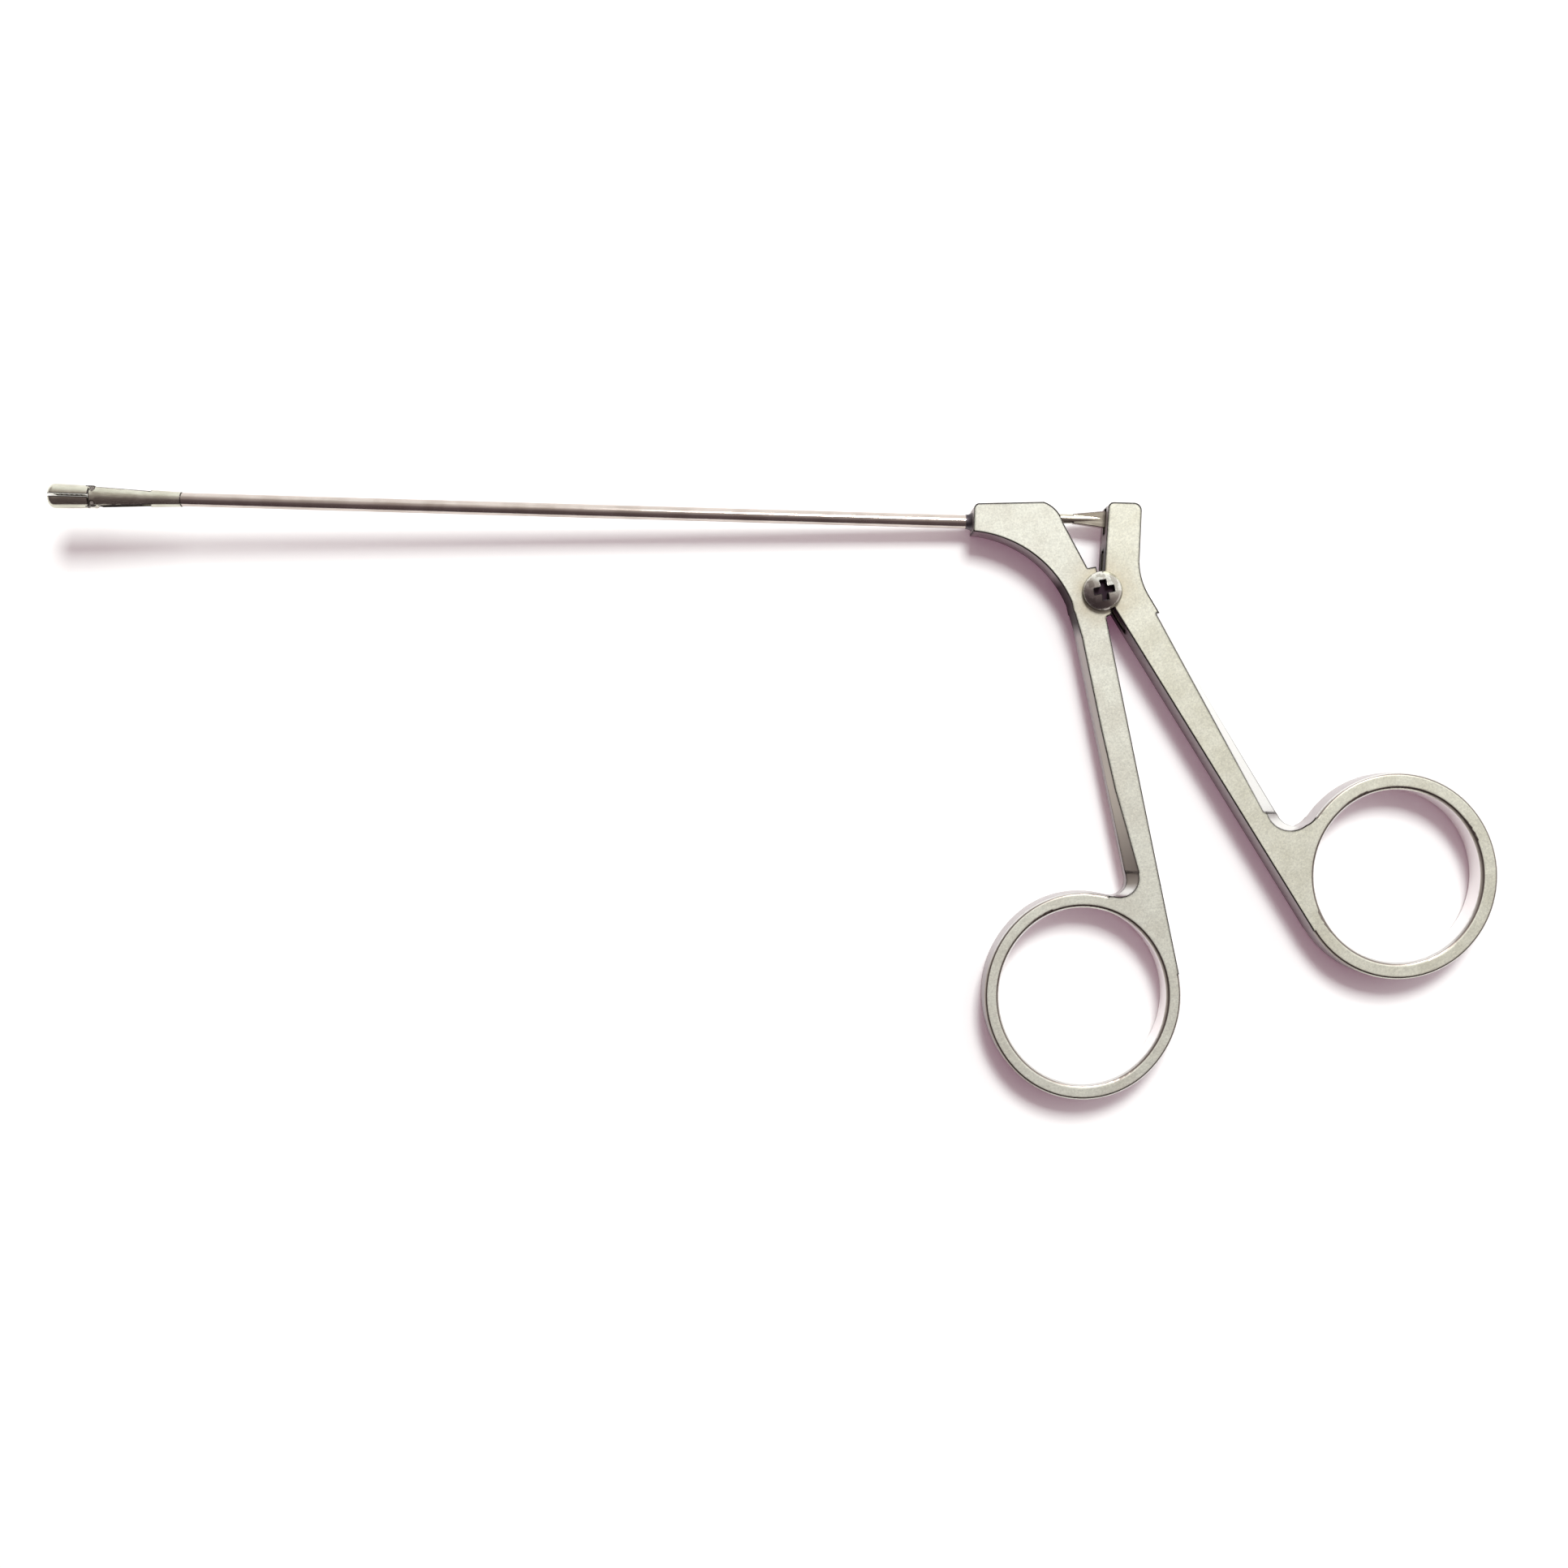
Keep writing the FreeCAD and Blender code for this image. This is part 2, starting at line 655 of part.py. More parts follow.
def thumb_handle():
    """Rear handle: lever with slots for blade and tongue, bar and thumb ring."""
    body = new_body("thumb_handle")
    wide, tall = "size.thumb_ring_wide", "size.thumb_ring_tall"
    ring_blank(body, THUMB_RING, wide, tall)
    low = about_pivot("size.nose_radius", "size.nose_low_angle")
    low_point = Vector(number(low[0]), number(low[1]), 0)
    left_touch = touch_oval(low_point, THUMB_RING, wide, tall, 1)
    elbow = ("size.pivot_x + size.elbow_out", PIVOT_Y + " - size.elbow_drop")
    elbow_point = Vector(number(elbow[0]), number(elbow[1]), 0)
    run = (left_touch - low_point).normalize()
    across = Vector(-run.y, run.x, 0)
    edge_end = left_touch + across * number("size.thumb_bar_wide")
    run_back = (edge_end - elbow_point).normalize()
    neck_top, neck_foot, neck_middle = neck_arc(
        elbow_point, run_back, THUMB_RING, wide, tall, "size.thumb_neck", 1)
    ring_middle = Vector(number(THUMB_RING[0]), number(THUMB_RING[1]), 0)
    reach = number("size.ring_reach")
    left = "size.pivot_x + size.lever_left"
    right = "size.pivot_x + size.lever_left + size.lever_wide"
    sketch = outline(new_sketch(body, "lever_outline"), [
        about_pivot("size.nose_radius", "size.nose_top_angle"),
        (left, "size.lever_top - size.lever_corner", "right", "size.lever_corner"),
        (left + " + size.lever_corner", "size.lever_top"),
        (right + " - size.lever_back_corner", "size.lever_top", "right", "size.lever_back_corner"),
        (right, "size.lever_top - size.lever_back_corner"),
        ("size.pivot_x + size.lever_waist_out", "size.lever_waist_y", "left", "size.elbow_curve"),
        elbow,
        plain(neck_top) + ("left", "size.thumb_neck"),
        plain(neck_foot),
        plain(ring_middle + (neck_foot - ring_middle) * reach),
        plain(ring_middle + (left_touch - ring_middle) * reach),
        plain(left_touch),
        low + ("right long", "size.nose_radius"),
    ])
    add_feature(body, "Pad", "lever_and_bar", sketch, "size.handle_thick", both_ways=True)
    ring_bore(body, THUMB_RING, "(%s - 2 * size.thumb_wall_side)" % wide,
              "(%s - 2 * size.thumb_wall_end)" % tall)

    def bar_edge(level):
        return elbow_point.x + run_back.x * (level - elbow_point.y) / run_back.y

    top = elbow_point.y - number("size.thumb_bevel_start")
    end = elbow_point.y - number("size.thumb_bevel_end")
    long_bevel(body, top, end, bar_edge, "size.thumb_bevel_broad", THUMB_BEVEL, 1)
    neck_scoop(body, neck_middle, "size.thumb_neck", "size.thumb_scoop")
    slot_front = "size.pivot_x - size.nose_radius - size.run_past"
    sketch = outline(new_sketch(body, "tongue_slot_outline"), box_corners(
        slot_front, "size.pivot_x + size.tongue_slot_back",
        PIVOT_Y + " - size.tongue_slot_drop", PIVOT_Y + " + size.tongue_slot_rise"))
    cut(body, "tongue_slot", sketch, SLOT_WIDE, both_ways=True)
    sketch = outline(new_sketch(body, "blade_slot_outline"), box_corners(
        slot_front, "size.pivot_x + size.blade_slot_back",
        "size.rod_rise - size.blade_slot_drop", "size.rod_rise + size.blade_slot_rise"))
    cut(body, "blade_slot", sketch, SLOT_WIDE, both_ways=True)
    sketch = circle(new_sketch(body, "screw_hole"), "size.pivot_x", PIVOT_Y,
                    "size.screw_shank / 2 + size.solder_fit")
    cut(body, "screw_bore", sketch, "2 * size.handle_thick", both_ways=True)
    sketch = circle(new_sketch(body, "pin_hole", shift=("0", "0", "-size.handle_thick / 2")),
                    ROD_PIN_X, "size.rod_rise", "size.rod_pin_thick / 2 + size.solder_fit")
    cut(body, "pin_bore", sketch, "size.handle_thick - size.near_cheek_left", reverse=True)
    return body


def pivot_screw():
    """Pan-head screw through both handles, its thread in the far cheek."""
    body = new_body("pivot_screw")
    body.setExpression("Placement.Base.x", "size.pivot_x")
    body.setExpression("Placement.Base.y", PIVOT_Y)
    face = "size.handle_thick / 2"
    crown = "size.screw_head_tall - size.screw_head_rim"
    half = "size.screw_head_wide / 2"
    dome = "((%s)^2 + (%s)^2) / (2 * (%s))" % (half, crown, crown)
    sketch = outline(new_sketch(body, "profile", "XZ_Plane"), [
        ("0", "-" + face),
        ("size.screw_shank / 2", "-" + face),
        ("size.screw_shank / 2", face),
        (half, face),
        (half, face + " + size.screw_head_rim", "left", dome),
        ("0", face + " + size.screw_head_tall"),
    ])
    turn_profile(body, "turned_screw", sketch, "V_Axis")
    arm, reach = "size.recess_arm / 2", "size.recess_long / 2"
    sketch = new_sketch(body, "cross", turn="size.screw_turn",
                        shift=("0", "0", face + " + size.screw_head_tall - size.recess_deep"))
    outline(sketch, [
        ("-" + arm, "-" + reach), (arm, "-" + reach), (arm, "-" + arm), (reach, "-" + arm),
        (reach, arm), (arm, arm), (arm, reach), ("-" + arm, reach),
        ("-" + arm, arm), ("-" + reach, arm), ("-" + reach, "-" + arm), ("-" + arm, "-" + arm),
    ])
    cut(body, "cross_recess", sketch, "size.screw_head_tall", reverse=True)
    return body


def shaft_tube():
    """Long tube from its seat in the block to the rear of the head."""
    body = new_body("shaft_tube")
    sketch = new_sketch(body, "tube_section", "YZ_Plane", shift=("0", "0", HEAD_REAR_X))
    circle(sketch, "0", "0", "size.tube_outside / 2")
    circle(sketch, "0", "0", "size.tube_inside / 2")
    add_feature(body, "Pad", "drawn_tube", sketch, "size.tube_seat - " + HEAD_REAR_X)
    return body


def tube_collar():
    """Cone of solder that seals the tube against the block's front face."""
    body = new_body("tube_collar")
    inner = "size.tube_outside / 2 + size.solder_fit"
    sketch = outline(new_sketch(body, "profile", "XY_Plane"), [
        ("-size.collar_long", inner),
        ("0", inner),
        ("0", "size.collar_wide / 2", "right", "1.5 * size.collar_long"),
        ("-size.collar_long", inner + " + size.collar_lip"),
    ])
    turn_profile(body, "solder_cone", sketch)
    return body


def rod_end():
    """Sleeve on the rod, cranked up and flattened into the blade that the pin drives."""
    body = new_body("rod_end")
    level = "size.sleeve_front"
    sketch = circle(new_sketch(body, "sleeve_section", "YZ_Plane", shift=("0", "0", level)),
                    "0", "0", "size.sleeve_wide / 2")
    add_feature(body, "Pad", "sleeve", sketch, "size.sleeve_long")
    sketch = circle(new_sketch(body, "rod_socket", "YZ_Plane", shift=("0", "0", level)),
                    "0", "0", "size.rod_thick / 2 + size.solder_fit")
    cut(body, "socket", sketch, "size.sleeve_bore_deep", reverse=True)
    # The crank is two equal arcs that turn up and back level again.
    rise, long = number("size.rod_rise"), number("size.crank_long")
    bend = 2 * math.atan2(rise, long)
    radius = long / (2 * math.sin(bend))
    rear = number("size.sleeve_front + size.sleeve_long")
    crank = rear + number("size.crank_start")
    path = body.newObject("Sketcher::SketchObject", "crank_path")
    path.AttachmentSupport = [(origin_plane(body, "XY_Plane"), "")]
    path.MapMode = "FlatFace"
    half_turn = Vector(crank + long / 2, rise / 2, 0)
    crank_end = Vector(crank + long, rise, 0)
    start = rear - number("size.run_in")
    path.addGeometry(Part.LineSegment(Vector(start, 0, 0), Vector(crank, 0, 0)))
    path.addGeometry(arc_between(Vector(crank, 0, 0), half_turn, radius, "left", False))
    path.addGeometry(arc_between(half_turn, crank_end, radius, "right", False))
    path.addGeometry(Part.LineSegment(crank_end, Vector(number("size.flare_start"), rise, 0)))
    section = circle(new_sketch(body, "neck_section", "YZ_Plane", shift=("0", "0", repr(start))),
                     "0", "0", "size.neck_thick / 2")
    doc.recompute()
    pipe = body.newObject("PartDesign::AdditivePipe", "cranked_neck")
    pipe.Profile = section
    pipe.Spine = path
    doc.recompute()
    # The round neck thins as it is hammered flat.
    round_end = circle(new_sketch(body, "round_section", "YZ_Plane", shift=("0", "0", "size.flare_start")),
                       "size.rod_rise", "0", "size.neck_thick / 2")
    flat_end = new_sketch(body, "flat_section", "YZ_Plane", shift=("0", "0", "size.flare_end"))
    circle(flat_end, "size.rod_rise", "0", "size.blade_thick / 2")
    blend(body, "AdditiveLoft", "thinning", [round_end, flat_end])
    half, thin = "size.blade_tall / 2", "size.neck_thick / 2"
    sketch = outline(new_sketch(body, "blade_outline"), [
        ("size.flare_start", "size.rod_rise - " + thin),
        ("size.flare_end", "size.rod_rise - " + half),
        (ROD_PIN_X, "size.rod_rise - " + half, "left", half),
        (ROD_PIN_X, "size.rod_rise + " + half),
        ("size.flare_end", "size.rod_rise + " + half),
        ("size.flare_start", "size.rod_rise + " + thin),
    ])
    add_feature(body, "Pad", "blade", sketch, "size.blade_thick", both_ways=True)
    # The pin rises a little as the lever swings, so its hole is a short upright slot.
    hole = "size.rod_pin_thick / 2 + size.rod_pin_fit"
    low = "size.rod_rise - size.rod_pin_fit - size.rod_pin_swing / 6"
    high = "size.rod_rise + size.rod_pin_swing"
    sketch = outline(new_sketch(body, "pin_slot"), [
        ("%s + %s" % (ROD_PIN_X, hole), low),
        ("%s + %s" % (ROD_PIN_X, hole), high, "left", hole),
        ("%s - %s" % (ROD_PIN_X, "(%s)" % hole), high),
        ("%s - %s" % (ROD_PIN_X, "(%s)" % hole), low, "left", hole),
    ])
    cut(body, "pin_slot_cut", sketch, "2 * size.blade_thick", both_ways=True)
    return body


def jaw_head():
    """Taper head: a through slot for the tails, holes for the jaw pins, a spigot behind."""
    body = new_body("jaw_head")
    rear = "size.head_rear_wide / 2"
    spigot = "size.tube_inside / 2 - size.solder_fit"
    sketch = outline(new_sketch(body, "profile"), [
        (SEAM_X, "0"),
        (HEAD_REAR_X + " + size.spigot_long", "0"),
        (HEAD_REAR_X + " + size.spigot_long", spigot),
        (HEAD_REAR_X, spigot),
        (HEAD_REAR_X, rear),
        (SEAM_X, "size.head_front_wide / 2"),
    ])
    turn_profile(body, "turned_head", sketch)
    sketch = outline(new_sketch(body, "slot_outline"), box_corners(
        SEAM_X + " - size.run_past", SLOT_END_X, "-size.head_front_wide", "size.head_front_wide"))
    cut(body, "through_slot", sketch, "size.head_slot_wide", both_ways=True)
    sketch = circle(new_sketch(body, "rod_hole", "YZ_Plane", shift=("0", "0", SLOT_END_X)),
                    "0", "0", "size.spigot_bore / 2")
    cut(body, "rod_bore", sketch, "size.head_length + size.spigot_long", reverse=True)
    sketch = new_sketch(body, "pin_holes")
    for side in ("", "-"):
        circle(sketch, JAW_PIN_X, side + "size.jaw_pin_apart / 2",
               "size.jaw_pin_thick / 2 + size.solder_fit")
    cut(body, "pin_bores", sketch, "2 * size.head_front_wide", both_ways=True)
    start = SEAM_X + " + size.notch_start"
    sketch = outline(new_sketch(body, "notch_outline"), box_corners(
        start, start + " + size.notch_long",
        "-size.head_front_wide", "size.notch_deep - size.head_front_wide / 2"))
    cut(body, "under_notch", sketch, "2 * size.head_front_wide", both_ways=True)
    return body


def jaw(name, side):
    """One jaw; side is 1 for the upper and -1 for the lower, which is the same turned over.

    It is drawn about its own pin, level with the shaft, as it stands at rest.
    """
    body = new_body(name)
    body.Placement = Placement(Vector(0, 0, 0), Rotation(Vector(1, 0, 0), 0 if side > 0 else 180))
    body.setExpression("Placement.Base.x", JAW_PIN_X)
    body.setExpression("Placement.Base.y", "%d * size.jaw_pin_apart / 2" % side)
    axis_drop = "size.jaw_pin_apart / 2"
    tilt = "size.jaw_rest_tilt"
    # The half-round blank is turned about the shaft's axis as it lies with the jaws shut.
    rear = "-size.jaw_pin_setback - size.jaw_seam_gap"
    tip = "-size.jaw_pin_setback - size.jaw_length"
    half = "size.jaw_wide / 2"
    sketch = new_sketch(body, "blank_profile", turn="-" + tilt, shift=(
        "-%s * sin(%s)" % (axis_drop, tilt), "-%s * cos(%s)" % (axis_drop, tilt), "0"))
    outline(sketch, [
        (rear, "0"),
        (rear, half),
        (tip + " + size.jaw_nose", half, "left", "size.jaw_nose"),
        (tip, half + " - size.jaw_nose"),
        (tip, "0"),
    ])
    turn_profile(body, "blank", sketch)
    face = "size.jaw_rest_gap / 2 - size.jaw_pin_apart / 2"
    sketch = outline(new_sketch(body, "face_outline"), box_corners(
        tip + " - size.run_past", "0", face + " - size.jaw_wide", face))
    cut(body, "mating_face", sketch, "2 * size.jaw_wide", both_ways=True)
    lean = "size.jaw_pin_apart * tan(size.jaw_shoulder_angle)"
    sketch = outline(new_sketch(body, "shoulder_outline"), [
        (rear + " + size.shoulder_shy", "0"),
        ("size.run_past", "0"),
        ("size.run_past", "size.jaw_pin_apart"),
        (rear + " - " + lean, "size.jaw_pin_apart"),
    ])
    cut(body, "shoulder", sketch, "2 * size.jaw_wide", both_ways=True)
    trough_start = "-size.jaw_pin_setback - size.trough_rim"
    sketch = circle(new_sketch(body, "trough_section", "YZ_Plane", shift=("0", "0", trough_start)),
                    "size.jaw_rest_gap / 2 - size.jaw_pin_apart / 2", "0", "size.trough_wide / 2")
    cut(body, "trough", sketch, "size.jaw_length - 2 * size.trough_rim")
    # Cross ridges stand in the trough and stop just short of the mating face.
    sketch = new_sketch(body, "ridge_outlines")
    crest = face + " + size.ridge_shy"
    foot = face + " + size.ridge_deep"
    for index in range(RIDGES):
        middle = "%s - %r * size.ridge_pitch" % (trough_start, index + 0.5)
        outline(sketch, [
            (middle + " - size.ridge_wide / 2", foot),
            (middle + " + size.ridge_wide / 2", foot),
            (middle + " + size.ridge_wide / 8", crest),
            (middle + " - size.ridge_wide / 8", crest),
        ])
    add_feature(body, "Pad", "ridges", sketch, "size.ridge_long", both_ways=True)
    # Knuckle round the pin, between the ears of the head.
    knuckle_thick = "size.head_slot_wide - 2 * size.slip"
    round_ = "size.lug_radius"
    sketch = outline(new_sketch(body, "knuckle_outline"), [
        ("0", "-" + round_, "left", round_),
        ("0", round_),
        (rear + " - size.lug_radius", round_),
        (rear + " - size.lug_radius", "-" + round_),
    ])
    add_feature(body, "Pad", "knuckle", sketch, knuckle_thick, both_ways=True)
    # Tail: a band round the cam arc, joined to the knuckle by a straight link.
    tail_thick = "size.head_slot_wide / 2 - size.slip - size.tail_inner"
    middle = Vector(number("size.cam_middle_x"), number("size.cam_middle_y"), 0)
    curve, half_wide = number("size.cam_curve"), number("size.tail_half")

    def cam_point(angle, offset):
        radians = math.radians(number(angle))
        reach = curve + offset
        return middle + Vector(reach * math.cos(radians), reach * math.sin(radians), 0)

    def band(sketch, half_band):
        rear_angle, front_angle = "size.cam_rear_angle", "size.cam_front_angle"
        outline(sketch, [
            plain(cam_point(rear_angle, half_band)) + ("left", repr(curve + half_band)),
            plain(cam_point(front_angle, half_band)) + ("left", repr(half_band)),
            plain(cam_point(front_angle, -half_band)) + ("right", repr(curve - half_band)),
            plain(cam_point(rear_angle, -half_band)) + ("left", repr(half_band)),
        ])
        return sketch

    lift = ("0", "0", "size.tail_inner")
    sketch = band(new_sketch(body, "tail_outline", shift=lift), half_wide)
    add_feature(body, "Pad", "tail", sketch, tail_thick)
    front = cam_point("size.cam_front_angle", 0)
    square = Vector(-front.y, front.x, 0).normalize() * half_wide
    sketch = outline(new_sketch(body, "link_outline", shift=lift), [
        plain(square), plain(-square), plain(front - square), plain(front + square)])
    add_feature(body, "Pad", "tail_link", sketch, tail_thick)
    sketch = band(new_sketch(body, "cam_outline", shift=lift),
                  number("size.drive_pin_thick / 2 + size.cam_fit"))
    cut(body, "cam_slot", sketch, tail_thick, reverse=True)
    sketch = circle(new_sketch(body, "pin_hole"), "0", "0", "size.jaw_pin_thick / 2 + size.pivot_fit")
    cut(body, "pin_bore", sketch, "2 * size.jaw_wide", both_ways=True)
    return body


def drive_yoke():
    """Tongue that carries the drive pin between the two tails, on the rod's front end."""
    body = new_body("drive_yoke")
    front = JAW_PIN_X + " + size.yoke_shank_back"
    sketch = circle(new_sketch(body, "shank_section", "YZ_Plane", shift=("0", "0", front)),
                    "0", "0", "size.yoke_shank_wide / 2")
    add_feature(body, "Pad", "shank", sketch, "size.yoke_shank_long")
    sketch = circle(new_sketch(body, "socket_section", "YZ_Plane",
                               shift=("0", "0", front + " + size.yoke_shank_long")),
                    "0", "0", "size.rod_thick / 2 + size.solder_fit")
    cut(body, "rod_socket", sketch, "size.yoke_bore_deep")
    half = "size.tongue_half"
    sketch = outline(new_sketch(body, "tongue_outline"), [
        (front + " + size.run_in", "-" + half),
        (front + " + size.run_in", half),
        (DRIVE_PIN_X, half, "left", half),
        (DRIVE_PIN_X, "-" + half),
    ])
    add_feature(body, "Pad", "tongue", sketch, "size.yoke_plate", both_ways=True)
    sketch = circle(new_sketch(body, "pin_hole"), DRIVE_PIN_X, "0",
                    "size.drive_pin_thick / 2 + size.solder_fit")
    cut(body, "pin_bore", sketch, "2 * size.yoke_plate", both_ways=True)
    return body


def rods_and_pins():
    """Plain round pieces: the drive rod and the four cross pins."""
    front = "(%s + size.yoke_shank_back + size.yoke_shank_long - size.yoke_bore_deep)" % JAW_PIN_X
    rear = "(size.sleeve_front + size.sleeve_bore_deep)"
    slot_half = "(size.head_slot_wide / 2 - size.slip)"
    return [
        rod_between("drive_rod", "size.rod_thick / 2", "%s - %s" % (rear, front),
                    (front, "0", "0"), Vector(1, 0, 0)),
        rod_between("rod_pin", "size.rod_pin_thick / 2", "size.handle_thick - size.near_cheek_left",
                    (ROD_PIN_X, "size.rod_rise", "-size.handle_thick / 2")),
        rod_between("upper_jaw_pin", "size.jaw_pin_thick / 2", "size.jaw_pin_long",
                    (JAW_PIN_X, "size.jaw_pin_apart / 2", "-size.jaw_pin_long / 2")),
        rod_between("lower_jaw_pin", "size.jaw_pin_thick / 2", "size.jaw_pin_long",
                    (JAW_PIN_X, "-size.jaw_pin_apart / 2", "-size.jaw_pin_long / 2")),
        rod_between("drive_pin", "size.drive_pin_thick / 2", "2 * " + slot_half,
                    (DRIVE_PIN_X, "0", "-" + slot_half)),
    ]


def check_and_write(parts):
    """Make sure that every object is sound, then write one file for each sub-part."""
    doc.recompute()
    for thing in doc.Objects:
        if "Invalid" in thing.State or "Error" in thing.State:
            raise ValueError("%s did not build" % thing.Name)
    for part in parts:
        if part.Shape.isNull() or not part.Shape.isValid():
            raise ValueError("%s has no sound shape" % part.Label)
        if len(part.Shape.Solids) != 1:
            raise ValueError("%s is %d solids" % (part.Label, len(part.Shape.Solids)))
    os.makedirs("parts", exist_ok=True)
    for part in parts:
        part.Shape.exportStep(os.path.join("parts", part.Label + ".step"))
        box = part.Shape.BoundBox
        print("%-16s volume %9.3f  x %8.2f..%8.2f  y %7.2f..%7.2f  z %6.2f..%6.2f" % (
            part.Label, part.Shape.Volume, box.XMin, box.XMax, box.YMin, box.YMax, box.ZMin, box.ZMax))


fill_sheet()
all_parts = [
    finger_handle(), thumb_handle(), pivot_screw(), shaft_tube(), tube_collar(), rod_end(),
    jaw_head(), jaw("upper_jaw", 1), jaw("lower_jaw", -1), drive_yoke(),
]
all_parts += rods_and_pins()
check_and_write(all_parts)
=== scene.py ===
"""Looks of the grasping forceps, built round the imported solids, in metres and in their frame."""

import math

import bmesh
import bpy
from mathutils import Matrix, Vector

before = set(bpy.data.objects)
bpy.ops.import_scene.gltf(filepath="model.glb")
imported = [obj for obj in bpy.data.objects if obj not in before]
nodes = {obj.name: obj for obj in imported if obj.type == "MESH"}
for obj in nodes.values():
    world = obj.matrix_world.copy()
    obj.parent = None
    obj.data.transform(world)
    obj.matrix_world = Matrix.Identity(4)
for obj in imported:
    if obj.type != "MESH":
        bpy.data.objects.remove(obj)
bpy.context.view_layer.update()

# Camera: straight above the forceps, as the photograph was taken, turned a little so that
# the tube lies level and the rings hang down the right side of the picture.
picture_middle = (-0.02542, -0.03763)
camera_height = 0.250
level_turn = math.radians(1.638)
camera_data = bpy.data.cameras.new("camera")
camera_data.sensor_width = 36.0
camera_data.lens = 40.75
camera_data.clip_start, camera_data.clip_end = 0.01, 10.0
camera = bpy.data.objects.new("camera", camera_data)
camera.location = (*picture_middle, camera_height)
camera.rotation_euler = (0.0, 0.0, level_turn)
bpy.context.scene.collection.objects.link(camera)
bpy.context.scene.camera = camera
bpy.context.scene.view_settings.view_transform = "Standard"


# Daylight: a window high on the far side, and a room that is bright round the window,
# brownish overhead and dark behind the camera.
def add(tree, kind, *feeds, **values):
    """Add a shader node; each feed is an input's name and its value or the socket it reads."""
    node = tree.nodes.new(kind)
    for name, value in values.items():
        setattr(node, name, value)
    for place, feed in feeds:
        if isinstance(feed, bpy.types.NodeSocket):
            tree.links.new(feed, node.inputs[place])
        else:
            node.inputs[place].default_value = feed
    return node


window_place = Vector((0.17, 0.80, 1.22))
window_aim = Vector((0.01, -0.03, 0.0))
window_light = bpy.data.lights.new("window", "AREA")
window_light.size = 0.42
window_light.energy = 16.5
window = bpy.data.objects.new("window", window_light)
window.location = window_place
window.rotation_euler = (window_aim - window_place).to_track_quat("-Z", "Y").to_euler()
bpy.context.scene.collection.objects.link(window)

towards_window = (0.52, 0.85, 0.0)
darkest_shade = (0.06, 0.045, 0.05)
middle_shades = ((0.30, (0.10, 0.078, 0.080)), (0.50, (0.255, 0.225, 0.222)),
                 (0.66, (0.36, 0.33, 0.315)))
brightest_from, brightest_shade = 0.80, (0.74, 0.74, 0.73)
room_strength = 1.55
room = bpy.data.worlds.new("room")
room.use_nodes = True
bpy.context.scene.world = room
tree = room.node_tree
tree.nodes.clear()
direction = add(tree, "ShaderNodeTexCoord").outputs["Generated"]
window_side = add(tree, "ShaderNodeVectorMath", (0, direction), (1, towards_window),
                  operation="DOT_PRODUCT").outputs["Value"]
across = add(tree, "ShaderNodeMapRange", ("Value", window_side), ("From Min", -1.0))
shade = add(tree, "ShaderNodeValToRGB", ("Fac", across.outputs[0]))
steps = shade.color_ramp.elements
steps[0].position, steps[0].color = 0.0, (*darkest_shade, 1.0)
steps[1].position, steps[1].color = brightest_from, (*brightest_shade, 1.0)
for position, colour in middle_shades:
    steps.new(position).color = (*colour, 1.0)
room_light = add(tree, "ShaderNodeBackground", ("Color", shade.outputs["Color"]),
                 ("Strength", room_strength))
white_wall = add(tree, "ShaderNodeBackground", ("Color", (1.0, 1.0, 1.0, 1.0)),
                 ("Strength", 1.0))
seen_by_camera = add(tree, "ShaderNodeLightPath").outputs["Is Camera Ray"]
backdrop = add(tree, "ShaderNodeMixShader", ("Fac", seen_by_camera),
               (1, room_light.outputs[0]), (2, white_wall.outputs[0]))
add(tree, "ShaderNodeOutputWorld", ("Surface", backdrop.outputs[0]))

# Paper: a smooth white sheet under the forceps. It falls away under the tube, because the
# forceps lies on its handles with the tip lifted. The camera and the metal see its lit parts
# as white and its shadows as a pale mauve grey.
half_a_sheet = 1.5
paper_level = -0.00255
first_fold, last_fold = 0.0, -0.2
fall = 0.0107
paper_mesh = bpy.data.meshes.new("paper")
sheet = bmesh.new()
bmesh.ops.create_grid(sheet, x_segments=1, y_segments=1, size=half_a_sheet)
for fold in (first_fold, last_fold):
    bmesh.ops.bisect_plane(sheet, geom=sheet.verts[:] + sheet.edges[:] + sheet.faces[:],
                           plane_co=(fold, 0.0, 0.0), plane_no=(1.0, 0.0, 0.0))
bmesh.ops.translate(sheet, vec=(0.0, 0.0, paper_level), verts=sheet.verts)
beyond_the_tip = [corner for corner in sheet.verts if corner.co.x < last_fold / 2]
bmesh.ops.translate(sheet, vec=(0.0, 0.0, -fall), verts=beyond_the_tip)
sheet.to_mesh(paper_mesh)
sheet.free()
paper = bpy.data.objects.new("paper", paper_mesh)
bpy.context.scene.collection.objects.link(paper)
paper_look = bpy.data.materials.new("white_paper")
paper_look.use_nodes = True
tree = paper_look.node_tree
tree.nodes.clear()
seen_colour = add(tree, "ShaderNodeBsdfDiffuse", ("Color", (1.0, 1.07, 1.03, 1.0)))
seen_glow = add(tree, "ShaderNodeEmission", ("Color", (0.105, 0.030, 0.068, 1.0)))
seen_paper = add(tree, "ShaderNodeAddShader", (0, seen_colour.outputs[0]),
                 (1, seen_glow.outputs[0]))
plain_paper = add(tree, "ShaderNodeBsdfDiffuse", ("Color", (0.80, 0.79, 0.79, 1.0)))
ray = add(tree, "ShaderNodeLightPath")
seeing = ray.outputs["Is Camera Ray"]
for other in ("Is Glossy Ray", "Is Transmission Ray"):
    seeing = add(tree, "ShaderNodeMath", (0, seeing), (1, ray.outputs[other]),
                 operation="MAXIMUM").outputs[0]
paper_surface = add(tree, "ShaderNodeMixShader", ("Fac", seeing), (1, plain_paper.outputs[0]),
                    (2, seen_paper.outputs[0]))
